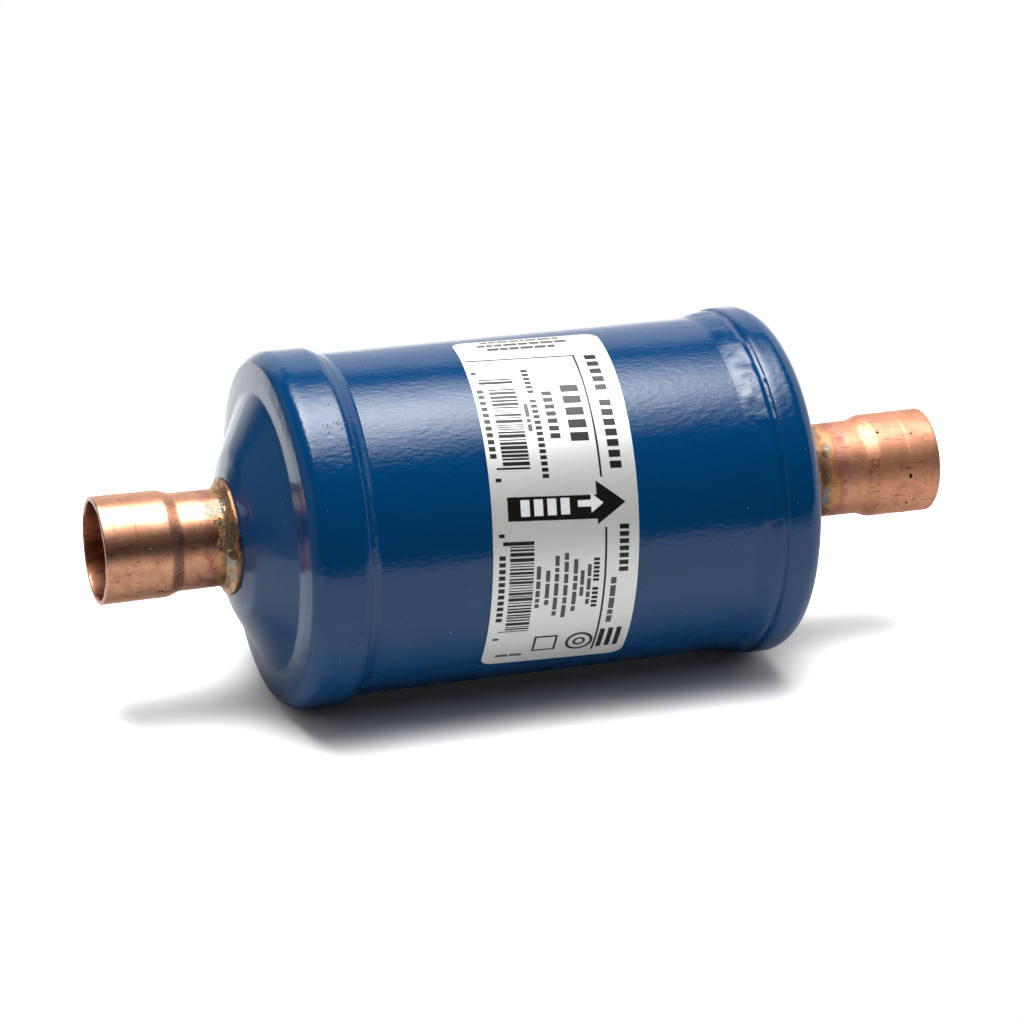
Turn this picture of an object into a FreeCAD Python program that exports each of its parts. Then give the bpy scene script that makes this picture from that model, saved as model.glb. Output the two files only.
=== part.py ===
"""Hermetic liquid-line filter drier with brazing sockets, in millimetres.

The axis of the shell runs along X and the liquid flows towards +X. +Z is up, and the
origin lies on the axis, halfway between the open ends of the two copper sockets.
"""
import FreeCAD
import Part
import math
import os

# Connections: copper for a 7/8 inch line
overall_length = 201.0
socket_bore = 22.4
socket_depth = 15.0
socket_taper = 2.9
stub_wall = 1.0
stub_od = 22.2
stub_bend_radius = 2.0
stub_rim_round = 0.3

# Shell
shell_od = 78.0
shell_wall = 1.7
cap_wall = 1.7
collar_clearance = 0.05
tube_end_gap = 0.8

# End caps: a rim is the distance from the origin to the corner between collar and face
inlet_rim = 62.1
outlet_rim = 59.5
inlet_collar_edge = 48.0
outlet_collar_edge = 49.8
knuckle_radius = 5.0
valley_depth = 1.8
valley_radius = 31.3
valley_round = 2.5
shoulder_radius = 28.0
shoulder_round = 3.2
dome_height = 9.1
cone_slope = 2.35
neck_clearance = 0.1
neck_round = 2.0
neck_length = 7.0
stub_stick_in = 1.5

# Welds and brazing
weld_run = 3.2
weld_bulge = 0.35
braze_leg_stub = 3.4
braze_leg_cap = 3.6
braze_bulge = 0.35

# Filter stack, named from the inlet to the outlet
plate_sheet = 1.2
plate_clearance = 0.25
plate_corner = 2.2
pressure_skirt = 6.0
boss_height = 1.8
boss_round = 1.3
boss_clearance = 0.3
spring_wire = 2.4
spring_large_radius = 25.0
spring_small_radius = 20.0
spring_turns = 4.5
spring_clearance = 0.05
spring_compressed = 16.0
mesh_sheet = 0.6
inlet_pad_thickness = 4.0
coarse_pad_thickness = 4.0
fine_pad_thickness = 3.0
pad_clearance = 0.1
bed_chamfer = 0.8
plate_hole = 4.0
hole_row_pitch = 7.8
hole_edge = 2.4

# Label: angles run from straight up round the front
label_width = 34.2
label_start_angle = -1.7
label_end_angle = 135.3
label_skew = 4.1
label_shift = -0.25
label_skew_pole = 105.0
label_foil = 0.1
label_glue = 0.05
label_corner = 3.0

# Derived sizes
tube_radius = shell_od / 2
tube_bore = tube_radius - shell_wall
collar_radius = tube_radius + collar_clearance + cap_wall
stub_radius = stub_od / 2
neck_radius = stub_radius + neck_clearance
bell_radius = socket_bore / 2 + stub_wall
half_length = overall_length / 2

axis_start = FreeCAD.Vector(0, 0, 0)
axis_direction = FreeCAD.Vector(1, 0, 0)


def point(u, r):
    """Point of a turned section: u along the axis, r out from it."""
    return FreeCAD.Vector(u, 0, r)


def direction(start, end):
    length = math.hypot(end[0] - start[0], end[1] - start[1])
    return (end[0] - start[0]) / length, (end[1] - start[1]) / length


def turn_at(corners, index):
    """Unit directions in and out of a corner, and the turn there, positive to the left."""
    come = direction(corners[index - 1], corners[index])
    go = direction(corners[index], corners[index + 1])
    cross = come[0] * go[1] - come[1] * go[0]
    dot = come[0] * go[0] + come[1] * go[1]
    return come, go, math.atan2(cross, dot)


def round_centre(corners, index):
    """Centre of the arc that rounds a corner."""
    u, r, radius = corners[index]
    come, go, turn = turn_at(corners, index)
    run = radius * math.tan(abs(turn) / 2)
    side = math.copysign(1, turn)
    start = (u - run * come[0], r - run * come[1])
    return start[0] - side * radius * come[1], start[1] + side * radius * come[0]


def rounded_edges(corners):
    """Edges of an open outline whose corners (u, r, rounding) become tangent arcs."""
    edges = []
    last = point(corners[0][0], corners[0][1])
    for index in range(1, len(corners) - 1):
        u, r, radius = corners[index]
        if radius > 0:
            come, go, turn = turn_at(corners, index)
            run = radius * math.tan(abs(turn) / 2)
            start = point(u - run * come[0], r - run * come[1])
            end = point(u + run * go[0], r + run * go[1])
            centre = point(*round_centre(corners, index))
            middle = centre + (point(u, r) - centre).normalize() * radius
            edges.append(Part.LineSegment(last, start).toShape())
            edges.append(Part.Arc(start, middle, end).toShape())
            last = end
        else:
            edges.append(Part.LineSegment(last, point(u, r)).toShape())
            last = point(u, r)
    edges.append(Part.LineSegment(last, point(corners[-1][0], corners[-1][1])).toShape())
    return edges


def parallel_corners(corners, wall):
    """The same outline one wall thickness to the right of its direction."""
    moved = []
    for index, (u, r, radius) in enumerate(corners):
        if 0 < index < len(corners) - 1:
            come, go, turn = turn_at(corners, index)
            share = wall / (1 + math.cos(turn))
            moved.append((u + share * (come[1] + go[1]), r - share * (come[0] + go[0]),
                          radius + math.copysign(wall, turn) if radius > 0 else 0))
        else:
            near = corners[:2] if index == 0 else corners[-2:]
            run = direction(near[0], near[1])
            moved.append((u + wall * run[1], r - wall * run[0], 0))
    return moved


def turned(edges):
    """Solid of revolution about the axis from a closed section."""
    return Part.Face(Part.Wire(edges)).revolve(axis_start, axis_direction, 360)


def pressed_sheet(corners, wall):
    """Sheet of even thickness, its outer outline given and its metal to the right of it."""
    inner = parallel_corners(corners, wall)
    outside = rounded_edges(corners)
    inside = rounded_edges(inner)
    first = Part.LineSegment(point(*corners[0][:2]), point(*inner[0][:2])).toShape()
    edges = outside + inside + [first]
    if corners[-1][1] > 0:
        edges.append(Part.LineSegment(point(*corners[-1][:2]), point(*inner[-1][:2])).toShape())
    else:
        edges.append(Part.LineSegment(point(corners[-1][0], 0), point(inner[-1][0], 0)).toShape())
    return turned(Part.__sortEdges__(edges))


def disc(start, thickness, radius):
    return Part.makeCylinder(radius, thickness, point(start, 0), axis_direction)


def facing_inlet(shape):
    """The same piece turned end for end about the vertical, for the inlet side."""
    turned_shape = shape.copy()
    turned_shape.rotate(axis_start, FreeCAD.Vector(0, 0, 1), 180)
    return turned_shape


def cap_corners(rim, collar_edge):
    """Outer outline of a drawn cap from its collar over the rim and valley to the turned-in neck."""
    neck_tip = rim + dome_height
    shoulder = neck_tip - (shoulder_radius - neck_radius) / cone_slope
    return [(collar_edge, collar_radius, 0),
            (rim, collar_radius, knuckle_radius),
            (rim - valley_depth, valley_radius, valley_round),
            (shoulder, shoulder_radius, shoulder_round),
            (neck_tip, neck_radius, neck_round),
            (neck_tip - neck_length, neck_radius, 0)]


def cap_ridge(rim):
    """Place of the ridge that the valley raises on the inside of a cap."""
    corners = cap_corners(rim, rim - 2 * knuckle_radius)
    return round_centre(corners, 2)[0] - valley_round - cap_wall


def end_cap(rim, collar_edge):
    return pressed_sheet(cap_corners(rim, collar_edge), cap_wall)


def shell_tube():
    """Rolled tube whose ends reach up to the knuckles of both caps."""
    start = -(inlet_rim - knuckle_radius - tube_end_gap)
    end = outlet_rim - knuckle_radius - tube_end_gap
    return disc(start, end - start, tube_radius).cut(disc(start, end - start, tube_bore))


def weld_bead(collar_edge):
    """Fillet weld in the step between the tube and the edge of the collar."""
    toe = point(collar_edge - weld_run, tube_radius)
    crest = point(collar_edge, collar_radius)
    root = point(collar_edge, tube_radius)
    chord = crest - toe
    outward = FreeCAD.Vector(-chord.z, 0, chord.x).normalize()
    middle = (toe + crest) * 0.5 + outward * weld_bulge
    return turned([Part.Arc(toe, middle, crest).toShape(),
                   Part.LineSegment(crest, root).toShape(),
                   Part.LineSegment(root, toe).toShape()])


def stub(rim):
    """Copper tube brazed into the neck, its open end expanded to a socket."""
    inner_end = rim + dome_height - neck_length - stub_stick_in
    bell_start = half_length - socket_depth
    blank = pressed_sheet([(inner_end, stub_radius, 0),
                           (bell_start - socket_taper, stub_radius, stub_bend_radius),
                           (bell_start, bell_radius, stub_bend_radius),
                           (half_length, bell_radius, 0)], stub_wall)
    mouth = [edge for edge in blank.Edges
             if edge.BoundBox.XMin > half_length - 0.01 and edge.BoundBox.XLength < 0.01]
    rounded = [edge for edge in mouth if abs(edge.Curve.Radius - bell_radius) < 0.01]
    return blank.makeFillet(stub_rim_round, rounded)


def braze_ring(rim, cap, tube):
    """Fillet of braze metal round the stub, flowed up against the cone of the cap."""
    neck_tip = rim + dome_height
    foot = neck_tip + braze_leg_stub - neck_round
    height = neck_radius + braze_leg_cap
    lip = point(neck_tip - (height - neck_radius) / cone_slope, height)
    end = point(foot, stub_radius)
    root = point(neck_tip - neck_round, stub_radius)
    back = point(lip.x - cap_wall / 2, height)
    chord = end - lip
    outward = FreeCAD.Vector(-chord.z, 0, chord.x).normalize()
    middle = (lip + end) * 0.5 - outward * braze_bulge
    blank = turned([Part.Arc(lip, middle, end).toShape(),
                    Part.LineSegment(end, root).toShape(),
                    Part.LineSegment(root, back).toShape(),
                    Part.LineSegment(back, lip).toShape()])
    pieces = blank.cut(cap).cut(tube).Solids
    return max(pieces, key=lambda piece: piece.BoundBox.XMax)


def hole_rows(first, last):
    """Rows of holes on circles one pitch apart, from the first to the last radius."""
    holes = []
    count = int(math.floor((last - first) / hole_row_pitch + 1e-6)) + 1
    for row in range(count):
        radius = first + row * hole_row_pitch
        around = max(1, int(round(2 * math.pi * radius / hole_row_pitch)))
        for place in range(around):
            angle = 2 * math.pi * place / around
            holes.append((radius * math.cos(angle), radius * math.sin(angle)))
    return holes


def perforate(plate, holes):
    start = plate.BoundBox.XMin - 1
    reach = plate.BoundBox.XLength + 2
    tools = [Part.makeCylinder(plate_hole / 2, reach, FreeCAD.Vector(start, y, z), axis_direction)
             for y, z in holes]
    return plate.cut(Part.makeCompound(tools))


def outlet_plate(seat):
    """Perforated cup that carries the stack and sits on the ridge of the outlet cap."""
    rim = tube_bore - plate_clearance
    skirt = seat - plate_sheet - mesh_sheet - fine_pad_thickness
    cup = pressed_sheet([(skirt, rim, 0), (seat, rim, plate_corner), (seat, 0, 0)], plate_sheet)
    inner = rim - plate_sheet - plate_hole / 2 - hole_edge
    return perforate(cup, hole_rows(0, inner))


def pressure_plate(face):
    """Perforated cup that slides in the tube, with a boss that centres the spring."""
    rim = tube_bore - plate_clearance
    boss = spring_small_radius - spring_wire / 2 - boss_clearance
    cup = pressed_sheet([(face - pressure_skirt, rim, 0),
                         (face, rim, plate_corner),
                         (face, boss - plate_sheet, boss_round),
                         (face - boss_height, boss - plate_sheet - boss_height / 2, boss_round),
                         (face - boss_height, 0, 0)], plate_sheet)
    outer = hole_rows(spring_small_radius + spring_wire / 2 + hole_edge + plate_hole / 2,
                      rim - plate_sheet - plate_hole / 2)
    inner = hole_rows(0, boss - plate_sheet - plate_hole / 2 - hole_edge)
    return perforate(cup, inner + outer)


def spring_seat():
    """Distance from the origin to the middle of the end coil where it nests in the inlet dome."""
    depth = cap_wall + spring_wire / 2 + spring_clearance
    inside = parallel_corners(cap_corners(inlet_rim, inlet_collar_edge), depth)
    level = Part.makeLine(point(0, spring_large_radius), point(overall_length, spring_large_radius))
    meetings = Part.Wire(rounded_edges(inside)).distToShape(level)[1]
    return min(meeting[0].x for meeting in meetings)


def core_spring(start, end):
    """Conical compression spring with a closed coil at each end."""
    steps_per_turn = 16
    steps = int(spring_turns * steps_per_turn)
    closed = 2 * spring_wire / (end - start)
    points = []
    for step in range(steps + 1):
        share = step / steps
        turn = share * spring_turns
        rise = coil_rise(turn, closed)
        radius = spring_large_radius + (spring_small_radius - spring_large_radius) * rise
        angle = 2 * math.pi * turn
        points.append(FreeCAD.Vector(start + (end - start) * rise,
                                     radius * math.cos(angle), radius * math.sin(angle)))
    line = Part.BSplineCurve()
    line.interpolate(points)
    path = Part.Wire([line.toShape()])
    tangent = line.tangent(line.FirstParameter)[0]
    section = Part.Wire([Part.makeCircle(spring_wire / 2, points[0], tangent)])
    return path.makePipeShell([section], True, False)


def coil_rise(turn, closed):
    """Share of the spring's length that is wound after so many turns."""
    active = spring_turns - 2
    if turn < 1:
        return closed / 2 * turn ** 2
    if turn > spring_turns - 1:
        return 1 - closed / 2 * (spring_turns - turn) ** 2
    return closed / 2 + (1 - closed) * (turn - 1) / active


def label():
    """Foil label wrapped round the front of the tube, stuck on slightly askew."""
    inner = tube_radius + label_glue
    outer = inner + label_foil
    reach = label_width
    section = [point(-reach, inner), point(reach, inner), point(reach, outer), point(-reach, outer)]
    face = Part.Face(Part.makePolygon(section + section[:1]))
    spare = 2 * label_skew
    sweep = label_end_angle - label_start_angle + 2 * spare
    face.rotate(axis_start, axis_direction, label_start_angle - spare)
    band = face.revolve(axis_start, axis_direction, sweep)
    band = band.common(label_sides())
    band = band.common(half_space(label_start_angle, 1))
    band = band.common(half_space(label_end_angle, -1))
    corners = [edge for edge in band.Edges if edge.Length < 2 * label_foil]
    return band.cut([corner_cutter(edge) for edge in corners]).Solids[0]


def corner_cutter(edge):
    """Tool that rounds the label's corner at one of its short edges through the foil."""
    corner = edge.Vertexes[0].Point
    middle = math.radians((label_start_angle + label_end_angle) / 2)
    inside = FreeCAD.Vector(0, -math.sin(middle), math.cos(middle)) * tube_radius - corner
    outward = FreeCAD.Vector(0, corner.y, corner.z).normalize()
    skew = math.radians(label_skew)
    along = axis_direction * math.cos(skew) + FreeCAD.Vector(0, -outward.z, outward.y) * math.sin(skew)
    across = outward.cross(along)
    along = along * math.copysign(1, along.dot(inside))
    across = across * math.copysign(1, across.dot(inside))
    if along.cross(across).dot(outward) < 0:
        along, across = across, along
    size = label_corner + 1
    height = 2 * label_corner
    tool = Part.makeBox(size, size, height, FreeCAD.Vector(-1, -1, -height / 2))
    tool = tool.cut(Part.makeCylinder(label_corner, height, FreeCAD.Vector(label_corner, label_corner, -height / 2)))
    tool.Placement = FreeCAD.Placement(corner, FreeCAD.Rotation(along, across, outward, "ZXY"))
    return tool


def label_sides():
    """Slab between the two long sides of the label, leaning by the skew."""
    lean = math.tan(math.radians(label_skew))
    pole = math.radians(label_skew_pole)
    normal = FreeCAD.Vector(1, -lean * math.sin(pole), lean * math.cos(pole))
    size = 4 * tube_radius
    slab = Part.makeBox(label_width, size, size,
                        FreeCAD.Vector(-label_width / 2, -size / 2, -size / 2))
    slab.Placement = FreeCAD.Placement(point(label_shift, 0), FreeCAD.Rotation(axis_direction, normal))
    return slab


def half_space(angle, side):
    """Box on one side of a short edge of the label."""
    size = 6 * tube_radius
    box = Part.makeBox(size, size, size, FreeCAD.Vector(-size / 2, -size if side > 0 else 0, -size / 2))
    box.rotate(axis_start, FreeCAD.Vector(0, 0, 1), -label_skew)
    box.rotate(axis_start, axis_direction, angle)
    return box


def filter_stack():
    """Everything inside the shell, laid up from the outlet towards the inlet."""
    seat = cap_ridge(outlet_rim)
    full = tube_bore - pad_clearance
    cup = tube_bore - plate_clearance - plate_sheet
    pieces = {"outlet_plate": outlet_plate(seat)}
    place = seat - plate_sheet - mesh_sheet
    pieces["outlet_mesh"] = disc(place, mesh_sheet, cup - plate_corner + plate_sheet)
    place -= fine_pad_thickness
    pieces["outlet_fine_pad"] = disc(place, fine_pad_thickness, cup - pad_clearance)
    place -= coarse_pad_thickness
    pieces["outlet_coarse_pad"] = disc(place, coarse_pad_thickness, full)
    place -= mesh_sheet
    pieces["bed_screen"] = disc(place, mesh_sheet, full)
    bed_end = place
    spring_start = -spring_seat()
    spring_end = spring_start + spring_compressed
    face = spring_end + spring_wire / 2 + spring_clearance + plate_sheet
    pieces["core_spring"] = core_spring(spring_start, spring_end)
    pieces["pressure_plate"] = pressure_plate(face)
    pieces["inlet_mesh"] = disc(face, mesh_sheet, full)
    place = face + mesh_sheet
    pieces["inlet_pad"] = disc(place, inlet_pad_thickness, full)
    place += inlet_pad_thickness
    bed = disc(place, bed_end - place, full)
    pieces["desiccant_bed"] = bed.makeChamfer(bed_chamfer, [edge for edge in bed.Edges
                                                            if edge.Curve.TypeId == "Part::GeomCircle"])
    return pieces


def build():
    pieces = {"shell_tube": shell_tube(), "label": label()}
    for side, rim, collar_edge in (("inlet", inlet_rim, inlet_collar_edge),
                                   ("outlet", outlet_rim, outlet_collar_edge)):
        cap = end_cap(rim, collar_edge)
        tube = stub(rim)
        made = {"end_cap": cap, "stub": tube, "weld_bead": weld_bead(collar_edge),
                "braze_ring": braze_ring(rim, cap, tube)}
        for name, shape in made.items():
            pieces[side + "_" + name] = facing_inlet(shape) if side == "inlet" else shape
    pieces.update(filter_stack())
    return pieces


os.makedirs("parts", exist_ok=True)
for node, solid in build().items():
    solid.exportStep("parts/" + node + ".step")
    print(node, "valid" if solid.isValid() else "NOT VALID", len(solid.Solids), round(solid.Volume, 1))
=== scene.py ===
# Filter drier: painted steel shell with drawn end caps, brazed copper sockets and a foil label.
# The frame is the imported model's, in metres: X runs along the shell towards the outlet, Z is up.
import bmesh
import bpy
import math
import random
from mathutils import Matrix, Vector, noise


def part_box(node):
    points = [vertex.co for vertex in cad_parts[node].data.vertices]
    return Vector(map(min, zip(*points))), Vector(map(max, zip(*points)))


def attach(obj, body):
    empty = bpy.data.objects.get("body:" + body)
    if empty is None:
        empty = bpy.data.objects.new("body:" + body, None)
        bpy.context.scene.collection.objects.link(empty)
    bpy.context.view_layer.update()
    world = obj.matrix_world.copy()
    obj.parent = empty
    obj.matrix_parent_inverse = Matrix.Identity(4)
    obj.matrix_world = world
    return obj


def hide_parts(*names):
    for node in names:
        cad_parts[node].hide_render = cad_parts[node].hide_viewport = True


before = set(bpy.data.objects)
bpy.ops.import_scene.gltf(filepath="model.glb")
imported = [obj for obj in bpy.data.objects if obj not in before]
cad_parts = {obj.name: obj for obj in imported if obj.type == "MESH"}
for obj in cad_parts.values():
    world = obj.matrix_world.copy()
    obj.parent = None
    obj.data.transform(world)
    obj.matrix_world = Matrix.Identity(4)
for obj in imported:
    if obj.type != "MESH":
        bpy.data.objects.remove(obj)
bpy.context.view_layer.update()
mm = 0.001
fullTurn = 2 * math.pi


# Shader maths

class Value:
    # a shader socket that takes part in ordinary arithmetic
    def __init__(self, sheet, socket):
        self.sheet = sheet
        self.socket = socket

    def math(self, operation, first, second=0.0):
        return self.sheet.node("ShaderNodeMath", {"operation": operation}, {0: first, 1: second})["Value"]

    def __add__(self, other):
        return self.math("ADD", self, other)

    def __radd__(self, other):
        return self.math("ADD", other, self)

    def __sub__(self, other):
        return self.math("SUBTRACT", self, other)

    def __rsub__(self, other):
        return self.math("SUBTRACT", other, self)

    def __mul__(self, other):
        return self.math("MULTIPLY", self, other)

    def __rmul__(self, other):
        return self.math("MULTIPLY", other, self)

    def __truediv__(self, other):
        return self.math("DIVIDE", self, other)

    def __pow__(self, other):
        return self.math("POWER", self, other)

    def __lt__(self, other):
        return self.math("LESS_THAN", self, other)

    def __abs__(self):
        return self.math("ABSOLUTE", self)


class Sheet:
    # one node tree: node() adds any node, the others are those that most surfaces use
    def __init__(self, tree):
        self.tree = tree
        self.tree.nodes.clear()

    def node(self, kind, settings=None, inputs=None):
        made = self.tree.nodes.new(kind)
        for name, value in (settings or {}).items():
            if name == "stops":
                self.setStops(made.color_ramp, value)
            else:
                setattr(made, name, value)
        for name, value in (inputs or {}).items():
            socket = made.inputs[name] if isinstance(name, int) else self.shown(made.inputs, name)
            if isinstance(value, Value):
                self.tree.links.new(value.socket, socket)
            else:
                socket.default_value = value
        return {socket.name: Value(self, socket) for socket in made.outputs if socket.enabled}

    def shown(self, sockets, name):
        return next(socket for socket in sockets if socket.enabled and socket.name == name)

    def setStops(self, ramp, stops):
        while len(ramp.elements) < len(stops):
            ramp.elements.new(0.5)
        for element, (position, colour) in zip(ramp.elements, stops):
            element.position = position
            element.color = (*colour, 1)

    def place(self):
        # object coordinates in millimetres
        metres = self.node("ShaderNodeTexCoord")["Object"]
        return self.stretched(metres, (1 / mm, 1 / mm, 1 / mm))

    def stretched(self, vector, scale):
        return self.node("ShaderNodeMapping", {}, {"Vector": vector, "Scale": scale})["Vector"]

    def axes(self, vector):
        parts = self.node("ShaderNodeSeparateXYZ", {}, {"Vector": vector})
        return parts["X"], parts["Y"], parts["Z"]

    def noise(self, vector, size, detail=2.0, roughness=0.5):
        inputs = {"Vector": vector, "Scale": 1 / size, "Detail": detail, "Roughness": roughness}
        return self.node("ShaderNodeTexNoise", {}, inputs)["Fac"]

    def cells(self, vector, size):
        return self.node("ShaderNodeTexVoronoi", {}, {"Vector": vector, "Scale": 1 / size})

    def dots(self, vector, size, radius, share):
        # round dots of one radius, in that share of the cells of one size
        cell = self.cells(vector, size)
        pick = self.axes(cell["Color"])[0] < share
        return self.step(cell["Distance"], radius / size, 0.6 * radius / size) * pick

    def step(self, value, low, high):
        # 0 at low and 1 at high, smooth between them
        return self.node("ShaderNodeMapRange", {"interpolation_type": "SMOOTHSTEP"},
                         {"Value": value, "From Min": low, "From Max": high})["Result"]

    def mix(self, factor, first, second, blend="MIX"):
        first, second = [(*c, 1) if isinstance(c, tuple) else c for c in (first, second)]
        return self.node("ShaderNodeMix", {"data_type": "RGBA", "blend_type": blend},
                         {"Factor": factor, "A": first, "B": second})["Result"]

    def clamped(self, value):
        return self.node("ShaderNodeClamp", {}, {"Value": value})["Result"]

    def positive(self, value):
        return self.node("ShaderNodeMath", {"operation": "MAXIMUM"}, {0: value, 1: 0.0})["Value"]

    def grey(self, value):
        return self.node("ShaderNodeCombineColor", {}, {0: value, 1: value, 2: value})["Color"]

    def ramp(self, value, stops):
        return self.node("ShaderNodeValToRGB", {"stops": stops}, {"Fac": value})["Color"]

    def near(self, place, spot, radius, ragged):
        # a patch round one spot with a ragged edge
        gap = self.node("ShaderNodeVectorMath", {"operation": "DISTANCE"}, {0: place, 1: spot})["Value"]
        return self.step(gap + ragged, radius, 0.75 * radius)

    def bump(self, height, distance):
        # height is 0 to 1, distance the millimetres that 1 stands for
        return self.node("ShaderNodeBump", {}, {"Height": height, "Distance": distance * mm})["Normal"]


def material(name):
    made = bpy.data.materials.new(name)
    made.use_nodes = True
    return made, Sheet(made.node_tree)


def surface(sheet, **sockets):
    shader = sheet.node("ShaderNodeBsdfPrincipled", {}, sockets)["BSDF"]
    sheet.node("ShaderNodeOutputMaterial", {}, {"Surface": shader})


def spotOn(along, angle, radius):
    # the point at an angle from straight up towards the front, in millimetres
    turn = math.radians(angle)
    return along, -radius * math.sin(turn), radius * math.cos(turn)


# Paint

# sizes and depths in millimetres
paintLook = {
    "blue": (0.0004, 0.045, 0.142), "deepBlue": (0.0003, 0.037, 0.120), "cloudSize": 9,
    "roughness": 0.11,
    "peelSize": 0.9, "peelDepth": 0.075,
    "waveSize": 5.0, "waveDepth": 0.07,
    # how far from the middle the caps' faces begin, where the peel is lower by this share
    "faceFrom": (60.3, 61.3), "faceCalm": 0.7,
    "pitSize": 0.24, "pitGrid": 0.8, "pitDepth": 0.12, "pitColour": (0.004, 0.006, 0.010),
    "dustDepth": 0.03, "dustColour": (0.42, 0.47, 0.52),
    # patches with weld pits: along, angle, size
    "pitSpots": [(-51.0, 30, 1.6), (-52.2, 38, 3.0), (-50.8, 44, 2.6), (47.5, 23, 0.8), (47.4, 37, 1.2),
                 (46.9, 42, 1.0), (-50.6, 107, 3.4)],
    "pitRadius": 40.4,
}


def bluePaint():
    look = paintLook
    made, sheet = material("blue_paint")
    place = sheet.place()
    onFace = sheet.step(abs(sheet.axes(place)[0]), *look["faceFrom"])
    peel = sheet.noise(sheet.stretched(place, (0.55, 1, 1)), look["peelSize"], 3, 0.55)
    peel = peel * (1 - onFace * look["faceCalm"])
    wave = sheet.noise(sheet.stretched(place, (0.6, 1, 1)), look["waveSize"], 1, 0.4)
    cloud = sheet.noise(place, look["cloudSize"], 3, 0.6)
    ragged = (sheet.noise(place, 1.6) - 0.5) * 2
    pitted = 0
    for along, angle, radius in look["pitSpots"]:
        pitted = sheet.near(place, spotOn(along, angle, look["pitRadius"]), radius, ragged) + pitted
    pits = sheet.dots(place, look["pitGrid"], look["pitSize"], 0.5) * pitted
    dusty = sheet.step(sheet.noise(place, 7, 1), 0.5, 0.66)
    dust = sheet.dots(place, 1.1, 0.10, 0.22) * dusty + sheet.dots(place, 5, 0.15, 0.3)
    colour = sheet.mix(cloud, look["blue"], look["deepBlue"])
    colour = sheet.mix(pits, colour, look["pitColour"])
    colour = sheet.mix(dust * 0.8, colour, look["dustColour"])
    height = (peel * look["peelDepth"] + wave * look["waveDepth"] - pits * look["pitDepth"]
              + dust * look["dustDepth"])
    surface(sheet, **{"Base Color": colour, "Roughness": look["roughness"] + cloud * 0.05 + dust * 0.3,
                      "IOR": 1.5, "Normal": sheet.bump(height, 1.0)})
    return made


# Copper and braze

copperLook = {
    "brown": (0.68, 0.32, 0.19),
    "pink": (0.80, 0.41, 0.31),
    "tarnish": (0.22, 0.10, 0.06),
    "bore": (0.62, 0.26, 0.15),
    "fleck": (0.90, 0.66, 0.54),
    "red": (0.42, 0.11, 0.07),
    "crust": (0.60, 0.62, 0.52),
    "verdigris": (0.13, 0.24, 0.24),
    "soot": (0.030, 0.027, 0.020),
    "pit": (0.030, 0.016, 0.010),
    "cutRim": (0.80, 0.52, 0.42),
    "cutRimDark": (0.52, 0.27, 0.20),
    "grainSize": 0.35,
    "pitDepth": 0.12,
}

# heat colours by the distance past the ring's root, which is about this far from the middle, over this
# many millimetres
ringRoot = 71.0
heatReach = 12.0
heatColours = [(0.0, (0.20, 0.12, 0.07)), (0.14, (0.42, 0.25, 0.12)), (0.26, (0.66, 0.33, 0.14)),
               (0.38, (0.50, 0.20, 0.12)), (0.50, (0.62, 0.27, 0.24)), (0.62, (0.72, 0.36, 0.22)),
               (0.80, (0.60, 0.28, 0.16)), (1.0, (0.80, 0.40, 0.25))]

# marks listed one by one: along, angle from straight up towards the front, size
inletMarks = {
    "bright": (0.83, 0.42, 0.26), "roughness": 0.31,
    "crust": [(-73.4, 32, 2.6), (-75.0, 37, 2.0), (-76.2, 30, 1.2)],
    "soot": [(-74.0, 53, 1.4), (-71.9, 66, 2.6), (-73.1, 78, 2.2), (-71.9, 90, 1.5)],
    "verdigris": [(-72.0, 101, 1.7), (-71.2, 118, 1.5)],
    "red": [(-77.3, 90, 1.3), (-76.6, 97, 0.9), (-82.8, 66, 0.8), (-83.6, 70, 0.6)],
    "pitted": [(-93.2, 92, 3.2), (-93.2, 108, 2.6), (-92.4, 123, 2.2), (-80.5, 68, 2.0)],
    "pits": [(-90.4, 72.8, 0.32), (-77.8, 19.8, 0.4), (-79.5, 100.6, 0.34), (-88.2, 130, 0.38),
             (-87.4, 131, 0.42), (-86.6, 132.5, 0.32), (-93.4, 86.6, 0.36), (-75.0, 37, 0.35)],
}

outletMarks = {
    "bright": (0.80, 0.375, 0.225), "roughness": 0.48,
    "crust": [(73.4, 43, 1.2)],
    "soot": [(71.8, 52, 0.9), (71.7, 84, 1.1), (72.3, 133, 1.8)],
    "verdigris": [(71.7, 98, 1.3), (71.9, 112, 1.2)],
    "red": [(76.7, 34, 1.2), (84.0, 71, 1.3), (83.2, 78, 0.9)],
    "pitted": [(92.9, 88, 2.0), (92.9, 125, 2.6), (86.5, 33, 1.6)],
    "pits": [(76.0, 96.4, 0.42), (77.5, 107.5, 0.55), (92.8, 87, 0.5), (92.8, 89.5, 0.42), (92.9, 125, 0.5),
             (86.3, 33, 0.45), (94.5, 39, 0.4)],
}


def patches(sheet, place, ragged, spots, radius):
    # the spots' patches, on a surface of that radius
    total = 0
    for along, angle, size in spots:
        total = sheet.near(place, spotOn(along, angle, radius), size, ragged) + total
    return sheet.clamped(total)


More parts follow.
